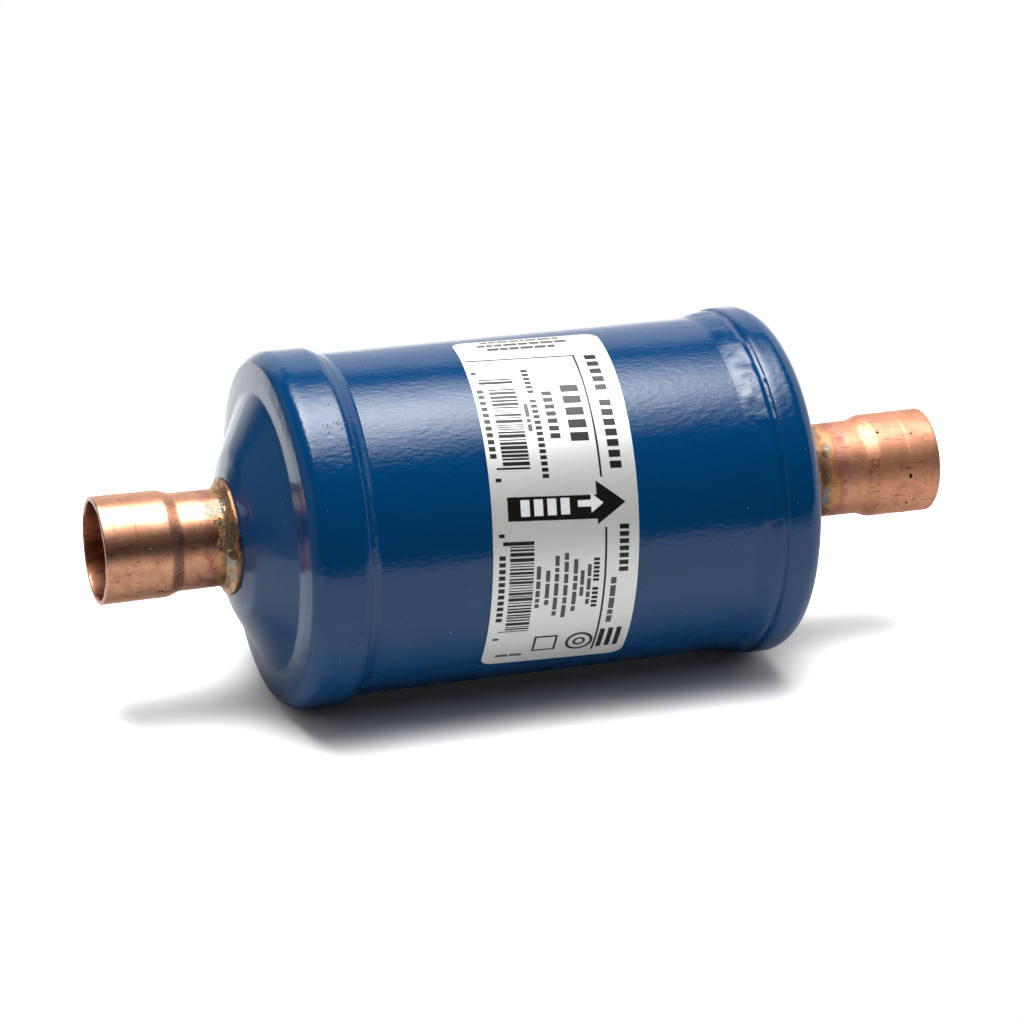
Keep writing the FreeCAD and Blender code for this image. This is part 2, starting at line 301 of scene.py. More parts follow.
def copper(name, marks):
    look = copperLook
    made, sheet = material(name)
    place = sheet.place()
    fromRing = abs(sheet.axes(place)[0]) - ringRoot
    blotch = sheet.noise(place, 6, 4, 0.62)
    streak = sheet.noise(sheet.stretched(place, (2.2, 0.7, 0.7)), 2.4, 3, 0.6)
    grain = sheet.noise(place, look["grainSize"], 3, 0.7)
    ragged = (sheet.noise(place, 1.1, 3, 0.6) - 0.5) * 2.4
    colour = sheet.mix(sheet.step(blotch, 0.40, 0.62), marks["bright"], look["brown"])
    colour = sheet.mix(sheet.step(streak, 0.50, 0.72) * 0.55, colour, look["pink"])
    drift = (sheet.noise(place, 3.6, 3, 0.6) - 0.5) * 10
    heat = sheet.ramp((fromRing + ragged * 0.6 + drift) / heatReach, heatColours)
    colour = sheet.mix(sheet.step(fromRing + drift, heatReach, 0.35 * heatReach) * 0.9, colour, heat)
    tarnish = sheet.step(sheet.noise(place, 2.6, 4, 0.7), 0.56, 0.74)
    colour = sheet.mix(tarnish * 0.55, colour, look["tarnish"])
    colour = sheet.mix(sheet.step(grain, 0.52, 0.74) * 0.45, colour, look["tarnish"])
    scratch = sheet.step(sheet.noise(sheet.stretched(place, (0.22, 2.6, 2.6)), 1.3, 2, 0.5), 0.63, 0.69)
    colour = sheet.mix(scratch * 0.6, colour, look["tarnish"])
    colour = sheet.mix(sheet.dots(place, 1.5, 0.11, 0.2) * 0.7, colour, look["fleck"])
    # the last number is the radius that the marks lie on
    soot = patches(sheet, place, ragged, marks["soot"], 11.3)
    crust = patches(sheet, place, ragged, marks["crust"], 11.2)
    green = patches(sheet, place, ragged * 1.8, marks["verdigris"], 11.4)
    red = patches(sheet, place, ragged * 2, marks["red"], 11.4)
    pitted = patches(sheet, place, ragged, marks["pitted"], 12.0)
    fine = sheet.dots(place, 0.75, 0.16, 0.5) * pitted + sheet.dots(place, 2.8, 0.14, 0.25)
    pits = sheet.clamped(fine + patches(sheet, place, ragged * 0.06, marks["pits"], 11.9))
    speckle = sheet.step(sheet.noise(place, 0.45, 2, 0.6), 0.50, 0.60)
    colour = sheet.mix(red * 0.6, colour, look["red"])
    colour = sheet.mix(crust * (0.35 + 0.65 * speckle), colour, look["crust"])
    colour = sheet.mix(green * (0.5 + 0.5 * speckle), colour, look["verdigris"])
    colour = sheet.mix(soot * (0.55 + 0.45 * speckle), colour, look["soot"])
    colour = sheet.mix(pits, colour, look["pit"])
    rough = marks["roughness"] + blotch * 0.10 + soot * 0.35 + crust * 0.25 + green * 0.4
    height = (grain * 0.006 + tarnish * 0.004 + crust * speckle * 0.10 + soot * speckle * 0.08
              - pits * look["pitDepth"])
    surface(sheet, **{"Base Color": colour, "Metallic": 1 - green * 0.8 - soot * 0.6 - crust * 0.5,
                      "Roughness": rough, "Normal": sheet.bump(height, 1.0)})
    return made


def copperBore():
    look = copperLook
    made, sheet = material("copper_bore")
    place = sheet.place()
    blotch = sheet.noise(sheet.stretched(place, (0.5, 1, 1)), 3, 4, 0.65)
    colour = sheet.mix(sheet.step(blotch, 0.40, 0.66), look["bore"], look["tarnish"])
    surface(sheet, **{"Base Color": colour, "Metallic": 1.0, "Roughness": 0.34 + blotch * 0.12,
                      "Normal": sheet.bump(sheet.noise(place, 0.4, 3, 0.6), 0.008)})
    return made


def copperRim():
    look = copperLook
    made, sheet = material("copper_cut_rim")
    place = sheet.place()
    marks = sheet.noise(place, 0.5, 3, 0.6)
    surface(sheet, **{"Base Color": sheet.mix(marks, look["cutRim"], look["cutRimDark"]), "Metallic": 1.0,
                      "Roughness": 0.32, "Normal": sheet.bump(marks, 0.012)})
    return made


brazeLook = {
    # colours by how the metal flowed
    "flow": [(0.30, (0.24, 0.13, 0.07)), (0.46, (0.50, 0.27, 0.14)), (0.58, (0.68, 0.38, 0.20)),
             (0.72, (0.82, 0.52, 0.34))],
    "brassy": (0.80, 0.66, 0.42),
    "grime": (0.045, 0.035, 0.022),
    "crust": (0.60, 0.62, 0.52),
    "crestShade": (0.12, 0.065, 0.035),
    # painted shade for the fillet's crest and its side towards the cone
    "verdigris": (0.22, 0.33, 0.32),
    "soot": (0.030, 0.026, 0.020),
}


def brazeMetal(name, marks, tip):
    # tip is how far from the middle the cap's neck ends; nearer than that, on the crest and towards the
    # cone, the fillet is darkened as painted shade
    look = brazeLook
    made, sheet = material(name)
    place = sheet.place()
    fromTip = abs(sheet.axes(place)[0]) - tip
    ragged = (sheet.noise(place, 1.0, 3, 0.6) - 0.5) * 2.4
    flow = sheet.noise(sheet.stretched(place, (2.0, 0.6, 0.6)), 1.6, 4, 0.65)
    speckle = sheet.noise(place, 0.55, 3, 0.65)
    colour = sheet.ramp(flow, look["flow"])
    colour = sheet.mix(sheet.step(speckle, 0.56, 0.66) * 0.5, colour, look["brassy"])
    crust = patches(sheet, place, ragged, marks["crust"], 12.4)
    soot = patches(sheet, place, ragged, marks["soot"], 12.2)
    green = patches(sheet, place, ragged * 1.8, marks["verdigris"], 12.0)
    colour = sheet.mix(sheet.step(speckle, 0.42, 0.33) * 0.75, colour, look["grime"])
    colour = sheet.mix(crust * sheet.step(speckle, 0.40, 0.54) * 0.8, colour, look["crust"])
    # painted shade: the crest and the fillet's side towards the cone are darkened
    colour = sheet.mix(sheet.step(fromTip + ragged * 0.25, 0.25, -0.35) * 0.8, colour, look["crestShade"])
    colour = sheet.mix(green * (0.3 + 0.6 * sheet.step(speckle, 0.42, 0.56)), colour, look["verdigris"])
    colour = sheet.mix(soot * 0.85, colour, look["soot"])
    height = speckle * 0.10 + flow * 0.12
    surface(sheet, **{"Base Color": colour, "Metallic": 1 - green * 0.7 - soot * 0.5,
                      "Roughness": 0.26 + speckle * 0.22 + soot * 0.3, "Normal": sheet.bump(height, 1.0)})
    return made


# Label foil and ink

foilLook = {"silver": (0.81, 0.81, 0.785), "shade": (0.74, 0.76, 0.77), "metallic": 0.50, "roughness": 0.40}
inkLook = {"black": (0.004, 0.0035, 0.003), "grey": (0.05, 0.05, 0.045), "light": (0.56, 0.57, 0.58)}


def labelFoil():
    made, sheet = material("label_foil")
    place = sheet.place()
    fibre = sheet.noise(place, 0.6, 3, 0.6)
    cloud = sheet.noise(place, 8, 2, 0.5)
    colour = sheet.mix(cloud * 0.25, foilLook["silver"], foilLook["shade"])
    surface(sheet, **{"Base Color": colour, "Metallic": foilLook["metallic"],
                      "Roughness": foilLook["roughness"] + fibre * 0.06,
                      "Normal": sheet.bump(fibre * 0.3 + cloud, 0.008)})
    return made


def labelInk(shade):
    ink = inkLook[shade]
    made, sheet = material("label_" + shade)
    place = sheet.place()
    worn = sheet.noise(place, 0.5, 3, 0.6)
    surface(sheet, **{"Base Color": sheet.mix(worn, ink, tuple(1.6 * part for part in ink)),
                      "Roughness": 0.32 + worn * 0.08, "Normal": sheet.bump(worn, 0.004)})
    return made


# Finishes of the inner pieces, which keep their shapes from the frame

# colour and roughness
steelLook = {"pressed_plate": ((0.56, 0.56, 0.55), 0.30), "spring_wire": ((0.42, 0.41, 0.40), 0.25)}

# pale and shaded colour, and the fibres' size
fibreLook = {"felt": ((0.80, 0.78, 0.72), (0.55, 0.52, 0.46), 0.8),
             "glass_fibre": ((0.88, 0.86, 0.74), (0.66, 0.64, 0.50), 0.4)}


def plateSteel(name):
    colour, roughness = steelLook[name]
    made, sheet = material(name)
    place = sheet.place()
    drawn = sheet.noise(sheet.stretched(place, (1, 1, 0.15)), 1.2, 3, 0.6)
    surface(sheet, **{"Base Color": sheet.mix(drawn, colour, tuple(0.7 * part for part in colour)),
                      "Metallic": 1.0, "Roughness": roughness + drawn * 0.15,
                      "Normal": sheet.bump(drawn, 0.01)})
    return made


# the gap colour is painted shade in the openings between the wires
weaveLook = {"pitch": 0.8, "gap": (0.16, 0.16, 0.16), "wire": (0.62, 0.61, 0.58), "depth": 0.15}


def wovenSteel():
    look = weaveLook
    made, sheet = material("woven_steel")
    across, up = sheet.axes(sheet.place())[1:]
    often = fullTurn / look["pitch"]
    warp, weft = (sheet.node("ShaderNodeMath", {"operation": "SINE"}, {0: way * often})["Value"]
                  for way in (across, up))
    weave = sheet.step(warp * weft, -0.9, 0.9)
    # the openings between the wires are painted dark as shade
    surface(sheet, **{"Base Color": sheet.mix(weave, look["gap"], look["wire"]), "Metallic": 1.0,
                      "Roughness": 0.38, "Normal": sheet.bump(weave, look["depth"])})
    return made


def fibrePad(name):
    pale, shade, size = fibreLook[name]
    made, sheet = material(name)
    place = sheet.place()
    fibre = sheet.noise(sheet.stretched(place, (3, 1, 1)), size, 5, 0.75)
    surface(sheet, **{"Base Color": sheet.mix(fibre, pale, shade), "Roughness": 0.95,
                      "Normal": sheet.bump(fibre, 0.25)})
    return made


# the gap colour is painted shade in the crevices between the beads
bedLook = {"beadSize": 2.2, "darkBead": (0.62, 0.55, 0.44), "paleBead": (0.78, 0.74, 0.66),
           "gap": (0.12, 0.10, 0.08)}


def beadBed():
    look = bedLook
    made, sheet = material("desiccant_beads")
    bead = sheet.cells(sheet.place(), look["beadSize"])
    colour = sheet.mix(sheet.axes(bead["Color"])[0], look["darkBead"], look["paleBead"])
    # the crevices between the beads are darkened as painted shade
    colour = sheet.mix(sheet.step(bead["Distance"], 0.42, 0.62), colour, look["gap"])
    surface(sheet, **{"Base Color": colour, "Roughness": 0.85,
                      "Normal": sheet.bump(1 - bead["Distance"], 0.7)})
    return made


# Mesh work

def outline(corners, finest):
    # a wire through corners (along, out, rounding) in millimetres, with no edge longer than finest
    arcStep = 0.45
    wire = bmesh.new()
    verts = [wire.verts.new((along * mm, 0, out * mm)) for along, out, rounding in corners]
    places = [vert.co.copy() for vert in verts]
    for pair in zip(verts, verts[1:]):
        wire.edges.new(pair)
    for index in range(1, len(corners) - 1):
        rounding = corners[index][2]
        if rounding > 0:
            turn = (places[index] - places[index - 1]).angle(places[index + 1] - places[index])
            bmesh.ops.bevel(wire, geom=[verts[index]], offset=rounding * mm * math.tan(turn / 2),
                            offset_type="OFFSET", segments=max(3, round(turn * rounding / arcStep)),
                            profile=0.5, affect="VERTICES", material=-1)
    for edge in wire.edges[:]:
        cuts = math.ceil(edge.calc_length() / (finest * mm)) - 1
        if cuts > 0:
            bmesh.ops.subdivide_edges(wire, edges=[edge], cuts=cuts)
    return wire


def turned(wire, steps):
    # the wire turned once round the shell's axis
    bmesh.ops.spin(wire, geom=wire.verts[:] + wire.edges[:], axis=(1, 0, 0), cent=(0, 0, 0), angle=fullTurn,
                   steps=steps, use_merge=True)
    bmesh.ops.remove_doubles(wire, verts=wire.verts[:], dist=1e-7)
    bmesh.ops.recalc_face_normals(wire, faces=wire.faces[:])
    return wire


def facing(skin, side):
    # a piece made for the outlet, turned end for end when it belongs to the inlet
    if side < 0:
        bmesh.ops.rotate(skin, verts=skin.verts[:], cent=(0, 0, 0), matrix=Matrix.Rotation(math.pi, 3, "Z"))
        skin.normal_update()
    return skin


def reshape(skin, move):
    # move gives the new along, out and angle of each point, from its old ones, in millimetres and radians
    for vert in skin.verts:
        out = math.hypot(vert.co.y, vert.co.z)
        angle = math.atan2(-vert.co.y, vert.co.z)
        along, out, angle = move(vert.co.x / mm, out / mm, angle)
        vert.co = Vector((along, -out * math.sin(angle), out * math.cos(angle))) * mm
    skin.normal_update()
    return skin


def ripple(along, angle, radius, size, seed=0.0):
    # smooth noise from -1 to 1 on a cylinder
    out = radius / size
    return noise.noise(Vector((along / size + seed, out * math.sin(angle), out * math.cos(angle))))


def portion(value):
    return min(1, max(0, value))


def piece(name, skin, finishes, node=None, sharp=35):
    # the finished object, riding on the part and standing for its node
    for face in skin.faces:
        face.smooth = True
    for edge in skin.edges:
        if len(edge.link_faces) == 2 and edge.calc_face_angle() > math.radians(sharp):
            edge.smooth = False
    mesh = bpy.data.meshes.new(name)
    skin.to_mesh(mesh)
    skin.free()
    for finish in finishes:
        mesh.materials.append(finish)
    made = bpy.data.objects.new(name, mesh)
    bpy.context.scene.collection.objects.link(made)
    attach(made, "root")
    if node:
        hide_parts(node)
    print(name, len(mesh.polygons), "faces")
    return made


# Shell tube

tubeLow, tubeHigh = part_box("shell_tube")
tubeRadius = tubeHigh.z / mm
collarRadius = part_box("inlet_end_cap")[1].z / mm

tubeShape = {"wall": 1.7, "steps": 360, "finest": 1.1, "waviness": 0.018, "waveSize": 11}


def shellTube(paint):
    shape = tubeShape
    wire = outline([(tubeLow.x / mm, tubeRadius, 0), (tubeHigh.x / mm, tubeRadius, 0)], shape["finest"])
    skin = turned(wire, shape["steps"])
    reshape(skin, lambda along, out, angle: (
        along, out + shape["waviness"] * (ripple(along * 0.4, angle, out, shape["waveSize"]) - 1), angle))
    bmesh.ops.solidify(skin, geom=skin.faces[:], thickness=shape["wall"] * mm)
    return piece("shell_tube_painted", skin, [paint], "shell_tube")


# End caps

capShape = {
    "wall": 1.7, "steps": 340, "finest": 1.1,
    "rim": {1: 59.5, -1: 62.1}, "collarEdge": {1: 49.8, -1: 48.0},
    # the collar's edge is lower by the first over a length of the second
    "edgeRound": 0.9, "taper": {1: (0.3, 1.0), -1: (0.45, 1.6)},
    # from the rim back to each corner, its radius (the collar's where none is given) and its rounding
    "face": [(2.39, None, 4.6), (0.95, 38.41, 1.2), (0.42, 35.0, 12.0), (0.1, 31.7, 1.3), (-6.5, 19.0, 8.0),
             (-8.9, 11.2, 1.8)],
    "neckRadius": 11.2, "neckLength": 7.0,
    "neckSlope": 3.25,     # of the cone beside the neck, out by this much for each millimetre back
    "unevenness": 0.05, "unevenSize": {"along": 13, "out": 12},
}


def neckTip(side):
    # how far from the middle the neck's mouth is
    return capShape["rim"][side] - capShape["face"][-1][0]


def endCap(name, side, paint):
    shape = capShape
    rim = shape["rim"][side]
    edge = shape["collarEdge"][side]
    drop, length = shape["taper"][side]
    corners = [(edge, collarRadius - drop - shape["edgeRound"], 0),
               (edge, collarRadius - drop, 0.6 * shape["edgeRound"]),
               (edge + length, collarRadius, 2.5)]
    corners += [(rim - back, radius or collarRadius, rounding) for back, radius, rounding in shape["face"]]
    corners.append((neckTip(side) - shape["neckLength"], shape["neckRadius"], 0))
    skin = outline(corners, shape["finest"])
    skin = facing(turned(skin, shape["steps"]), side)
    uneven, size = shape["unevenness"], shape["unevenSize"]
    reshape(skin, lambda along, out, angle: (
        along + side * uneven * (ripple(along * 0.5, angle, out, size["along"], 4.0) - 1),
        out + uneven * 0.6 * (ripple(along * 0.3, angle, out, size["out"]) - 1), angle))
    bmesh.ops.solidify(skin, geom=skin.faces[:], thickness=shape["wall"] * mm)
    return piece(name + "_painted", skin, [paint], name)


# Weld beads between the collars and the tube

beadShape = {
    "steps": 420, "finest": 0.4,
    # from the collar's edge towards the tube, height over the tube, rounding
    "profile": {
        1: [(6.9, -0.03, 0), (6.0, 0.10, 0.8), (3.6, 0.84, 2.5), (1.6, 1.20, 1.4), (0.5, 0.98, 0.5),
            (-0.9, 1.62, 0)],
        -1: [(2.5, -0.03, 0), (2.1, 0.10, 0.4), (1.1, 0.62, 1.0), (-0.2, 1.15, 1.6), (-1.6, 1.62, 1.2),
             (-2.6, 1.60, 0)],
    },
    "foot": -0.03,      # the bead's underside, in the tube's wall
    "looseLength": 4,   # the toe wanders fully this far from the collar
    "looseHeight": 0.5,
    "lumps": {1: 0.15, -1: 0.05}, "lumpSize": {1: 4.5, -1: 5.5}, "wander": {1: 0.40, -1: 0.15},
    # where the weld pool reached further over the tube, and stands higher: angle, spread, reach, height
    "bulges": {1: [(35, 16, 0.3, 0.06), (150, 25, 0.5, 0.0)],
               -1: [(20, 26, 0.9, 0.0), (120, 30, 0.3, 0.0)]},
}


def weldBead(name, side, paint):
    shape = beadShape
    edge = capShape["collarEdge"][side]
    corners = [(edge - back, tubeRadius + height, rounding)
               for back, height, rounding in shape["profile"][side]]
    skin = outline([(edge + 0.1, tubeRadius + shape["foot"], 0)] + corners, shape["finest"])
    ends = [vert for vert in skin.verts if len(vert.link_edges) == 1]
    skin.edges.new(ends)
    skin = facing(turned(skin, shape["steps"]), side)
    lumps, size, wander, bulges = (shape[key][side] for key in ("lumps", "lumpSize", "wander", "bulges"))

    def laid(along, out, angle):
        reach = portion((edge - side * along) / shape["looseLength"])
        raised = portion((out - tubeRadius) / shape["looseHeight"])
        pool = ripple(along, angle, out, size, 2.0) + 0.4 * ripple(along, angle, out, size / 2.2, 7.0)
        spread, lift = wander * ripple(0, angle, 40, 7, 9.0), lumps * (pool - 0.4)
        for middle, width, far, high in bulges:
            here = math.exp(-((math.degrees(angle) - middle) / width) ** 2)
            spread += far * here
            lift += (high + lumps * pool * (far > 0)) * here
        return along - side * reach * spread, min(out + raised * lift, collarRadius), angle

    reshape(skin, laid)
    return piece(name + "_painted", skin, [paint], name, 60)


# Copper stubs

stubRadius = 11.1
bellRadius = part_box("inlet_stub")[1].z / mm
stubShape = {
    "wall": 1.0, "steps": 200, "finest": 0.9, "socketDepth": 15.0, "taper": 2.9, "bendRound": 2.0,
    "rimRound": 0.3, "dents": 0.05, "dentSize": 4.5,
    "lineDepth": 7.4, "lineStep": 0.07,    # a drawn line round the socket, with a small step
}


def stub(name, side, finish, bore, rimFinish):
    shape = stubShape
    low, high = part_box(name)
    inner, mouth = sorted((abs(low.x) / mm, abs(high.x) / mm))
    bell = mouth - shape["socketDepth"]
    line = mouth - shape["lineDepth"]
    skin = outline([
        (inner, stubRadius, 0),
        (bell - shape["taper"], stubRadius, shape["bendRound"]),
        (bell, bellRadius - shape["lineStep"], shape["bendRound"]),
        (line - 0.3, bellRadius - shape["lineStep"], 0.2),
        (line + 0.2, bellRadius, 0.2),
        (mouth, bellRadius, 0)], shape["finest"])
    skin = facing(turned(skin, shape["steps"]), side)

    def dented(along, out, angle):
        deep = shape["dents"] * (ripple(along * 0.5, angle, out, shape["dentSize"]) - 0.8)
        return along, out + deep * (mouth - 0.3 > abs(along)), angle

    reshape(skin, dented)
    bmesh.ops.solidify(skin, geom=skin.faces[:], thickness=shape["wall"] * mm)
    rim = [edge for edge in skin.edges
           if all(abs(abs(vert.co.x) / mm - mouth) < 0.05 for vert in edge.verts)
           and edge.calc_face_angle(0) > 1]
    bmesh.ops.bevel(skin, geom=rim, offset=shape["rimRound"] * mm, offset_type="OFFSET", segments=3,
                    profile=0.5, affect="EDGES", material=-1)
    for face in skin.faces:     # the finishes in their order: outside, bore, cut rim
        centre = face.calc_center_median()
        outward = face.normal.y * centre.y + face.normal.z * centre.z
        if abs(centre.x) / mm > mouth - 0.28:
            face.material_index = 2
        elif outward < 0:
            face.material_index = 1
    return piece(name + "_copper", skin, [finish, bore, rimFinish], name, 50)


# Braze rings

ringShape = {
    "steps": 300, "finest": 0.3, "lip": 13.2, "foot": 1.9, "lumps": 0.14, "wander": 0.3,
    "bulge": (95, 42, 0.35),     # the side with more metal: angle, spread, share
}


def brazeRing(name, side, finish):
    shape = ringShape
    lip, neck = shape["lip"], capShape["neckRadius"]
    tip = neckTip(side)
    onCone = tip - (lip - neck) / capShape["neckSlope"]
    foot = tip + shape["foot"]
    # from under the lip on the cone over the fillet to its foot on the copper, and back inside
    skin = outline([
        (onCone - 0.3, lip - 0.2, 0),
        (onCone, lip + 0.05, 0.1),
        (onCone + 0.75, lip, 0.35),
        (tip + 0.5, neck + 0.75, 1.4),
        (foot - 0.3, stubRadius + 0.14, 0.6),
        (foot, stubRadius - 0.05, 0),
        (tip - 1.6, stubRadius - 0.05, 0)], shape["finest"])
    ends = [vert for vert in skin.verts if len(vert.link_edges) == 1]
    skin.edges.new(ends)
    skin = facing(turned(skin, shape["steps"]), side)

    def flowed(along, out, angle):
        free = portion((out - stubRadius) / 0.5)
        pool = ripple(along, angle, out, 2.6, 1.0) + 0.5 * ripple(along, angle, out, 1.1, 5.0)
        middle, width, share = shape["bulge"]
        more = share * math.exp(-((math.degrees(angle) - middle) / width) ** 2)
        reach = shape["wander"] * ripple(0, angle, 12, 4.5, 3.0) + more * (out - stubRadius)
        out = out + free * (shape["lumps"] * pool + reach)
        along = along - side * reach * free * 0.31 + side * shape["lumps"] * 0.6 * pool * free
        return along, out, angle

    reshape(skin, flowed)
    return piece(name + "_metal", skin, [finish], name, 60)


# Label

labelShape = {
    # from start to end in degrees from straight up towards the front
    "width": 34.2, "start": -1.7, "end": 135.3, "corner": 3.0, "foil": 0.1, "radius": tubeRadius + 0.15,
    # how it sits askew: degrees for each millimetre across, millimetres along, and a lean about its pole
    "tilt": 0.105, "shift": -0.25, "lean": 2.8, "pole": 105.0,
    "steps": (2.85, 0.9),    # across and down, between the cuts that let it bend
}


def arcLength(degrees):
    return math.radians(degrees) * labelShape["radius"]


def wrapped(skin, lift=0.0):
    # bends flat work, across in X and down the label in -Y, round the tube
    shape = labelShape
    for vert in skin.verts:
        across = vert.co.x / mm
        angle = math.degrees(-vert.co.y / mm / shape["radius"]) + shape["tilt"] * across
        along = across + shape["shift"] - shape["lean"] * math.cos(math.radians(angle - shape["pole"]))
        vert.co = Vector(spotOn(along, angle, shape["radius"] + lift + vert.co.z / mm)) * mm
    skin.normal_update()
    return skin


def cutAcross(skin, normal, first, last, step):
    # cuts flat work across at even steps, so that it can bend
    place = first + step
    while place < last:
        bmesh.ops.bisect_plane(skin, geom=skin.verts[:] + skin.edges[:] + skin.faces[:], dist=1e-7,
                               plane_co=normal * place * mm, plane_no=normal)
        place += step


def labelSheet(finish):
    shape = labelShape
    half = shape["width"] / 2
    top, bottom = -arcLength(shape["start"]), -arcLength(shape["end"])
    skin = bmesh.new()
    corners = ((-half, bottom), (half, bottom), (half, top), (-half, top))
    verts = [skin.verts.new((across * mm, down * mm, 0)) for across, down in corners]
    skin.faces.new(verts)
    bmesh.ops.bevel(skin, geom=verts, offset=shape["corner"] * mm, offset_type="OFFSET", segments=8,
                    profile=0.5, affect="VERTICES", material=-1)
    stepAcross, stepDown = shape["steps"]
    cutAcross(skin, Vector((0, 1, 0)), bottom, top, stepDown)
    cutAcross(skin, Vector((1, 0, 0)), -half, half, stepAcross)
    wrapped(skin)
    bmesh.ops.solidify(skin, geom=skin.faces[:], thickness=shape["foil"] * mm)
    return piece("label_sheet", skin, [finish], "label")


# Print: plain bars, blocks, rings and arrows, places across in millimetres and down in degrees

printLayout = {
    "lift": 0.012, "seed": 12,
    "rules": [(-16.4, 8.7, 14.3, 14.9), (8.6, 9.1, 14.3, 63.3), (9.05, 9.55, 79.6, 130.6)],
    # left, right, left of the longer bars at the ends, top, bottom
    "barCodes": [(-13.5, -7.3, -15.1, 25.2, 60.6), (-13.2, -7.55, -14.8, 83.4, 117.6)],
    "barWidths": (0.40, 0.40, 0.65, 0.65, 0.95, 1.25), "barGaps": (0.36, 0.36, 0.5, 0.6), "barEnds": 1.6,
    # words of one block to a letter: left, right, top, bottom, letters
    "bigWords": [(11.2, 13.9, 14.8, 33.5, 5), (11.2, 13.9, 36.2, 61.8, 7), (3.0, 7.2, 29.4, 52.6, 5),
                 (-1.6, 0.7, 31.8, 50.8, 7), (12.5, 14.7, 78.8, 95.8, 7)],
    "smallWords": [(-4.7, -3.2, 21.2, 33.0, 6), (-4.7, -3.2, 35.0, 63.8, 14), (-16.2, -14.7, 30.0, 57.0, 11),
                   (-15.7, -14.2, 88.0, 113.2, 11), (-16.2, -15.0, 21.4, 23.2, 1),
                   (-15.6, -14.3, 62.8, 64.6, 1), (-15.7, -14.4, 80.8, 82.6, 1),
                   (-15.6, -14.3, 120.0, 121.6, 1), (6.5, 7.9, 89.8, 98.6, 6), (6.5, 7.9, 100.4, 108.8, 5)],
    "letterShare": 0.66,     # of its pitch that a letter's block fills
    # lines of small print: left, right, top, bottom
    "fineColumns": [(-6.4, -5.4, 36.6, 48.4), (-6.9, -5.9, 92.0, 108.4), (-4.7, -3.7, 93.6, 106.4),
                    (-2.6, -1.6, 88.6, 111.0), (-0.4, 0.6, 87.8, 112.0), (1.8, 2.8, 90.0, 109.6),
                    (3.5, 4.4, 94.0, 104.8), (5.1, 6.0, 92.0, 107.0), (10.8, 12.1, 97.0, 115.6)],
    "fineRows": [(-11.6, 9.2, 2.5, 4.4), (-9.8, 6.0, 6.0, 7.9), (-10.4, 8.0, -0.7, 0.9),
                 (-14.0, -6.8, 129.3, 130.7)],
    # the shortest word across in millimetres and down in degrees, and the gap as a share of it
    "shortestWord": (0.8, 1.4), "wordGap": 0.45,
    # tail, neck, top and bottom of the shaft, then the tip, top and bottom of the head
    "arrow": (-13.4, 7.4, 69.0, 76.8, 14.1, 64.4, 78.7),
    "lightArrow": (2.9, 6.0, 70.6, 72.8, 8.9, 68.4, 74.9),
    "lightBlocks": [(-10.4, -8.3, 70.0, 75.4), (-7.3, -5.2, 69.9, 75.3), (-4.2, -2.1, 69.8, 75.2),
                    (-1.1, 1.0, 69.7, 75.1)],
    # across, down, inner and outer radius
    "rings": [(5.5, 124.7, 2.6, 3.3), (5.5, 124.7, 0.9, 1.5)],
    # left, right, top, bottom, line
    "frame": (-5.6, 0.0, 120.4, 128.6, 0.55),
    "endBars": [(10.0, 11.2, 118.8, 129.0), (12.0, 13.2, 118.6, 128.8), (14.0, 15.2, 118.4, 128.6)],
}


def block(skin, left, right, top, bottom):
    # one flat rectangle, divided down the label so that it bends
    long = arcLength(bottom - top)
    shift = Matrix.Translation(((left + right) / 2 * mm, -arcLength((top + bottom) / 2) * mm, 0))
    size = Matrix.Diagonal(((right - left) * mm, long * mm, 1, 1))
    bmesh.ops.create_grid(skin, x_segments=1, y_segments=max(1, math.ceil(long / 1.6)), size=0.5,
                          matrix=shift @ size)


def letters(skin, left, right, top, bottom, count):
    # one plain block to a letter
    pitch = (bottom - top) / count
    for index in range(count):
        start = top + index * pitch
        block(skin, left, right, start, start + pitch * printLayout["letterShare"])


def fineLine(skin, pick, left, right, top, bottom, across):
    # a line of small print as short bars of words
    place, last = (left, right) if across else (top, bottom)
    shortest = printLayout["shortestWord"][0 if across else 1]
    while place < last - shortest:
        word = pick.uniform(shortest, 4 * shortest)
        end = min(last, place + word)
        block(skin, *((place, end, top, bottom) if across else (left, right, place, end)))
        place = end + printLayout["wordGap"] * shortest


def arrow(skin, tail, neck, top, bottom, tip, headTop, headBottom):
    # a shaft and a pointed head
    block(skin, tail, neck, top, bottom)
    corners = ((neck, headTop), (neck, headBottom), (tip, (headTop + headBottom) / 2))
    head = skin.faces.new([skin.verts.new((across * mm, -arcLength(down) * mm, 0))
                           for across, down in corners])
    work = list(head.verts) + list(head.edges) + [head]
    strips = 8
    for step in range(1, strips):
        place = -arcLength(headBottom + (headTop - headBottom) * step / strips) * mm
        work = bmesh.ops.bisect_plane(skin, geom=work, dist=1e-8, plane_co=(0, place, 0),
                                      plane_no=(0, 1, 0))["geom"]


def ring(skin, across, down, inner, outer):
    radius = bmesh.new()
    ends = [radius.verts.new((reach * mm, 0, 0)) for reach in (inner, outer)]
    radius.edges.new(ends)
    bmesh.ops.spin(radius, geom=radius.verts[:] + radius.edges[:], axis=(0, 0, 1), cent=(0, 0, 0),
                   angle=fullTurn, steps=40, use_merge=True)
    bmesh.ops.translate(radius, verts=radius.verts[:], vec=(across * mm, -arcLength(down) * mm, 0))
    radius.normal_update()
    bmesh.ops.reverse_faces(radius, faces=[face for face in radius.faces if face.normal.z < 0])
    loose = bpy.data.meshes.new("ring")
    radius.to_mesh(loose)
    radius.free()
    skin.from_mesh(loose)


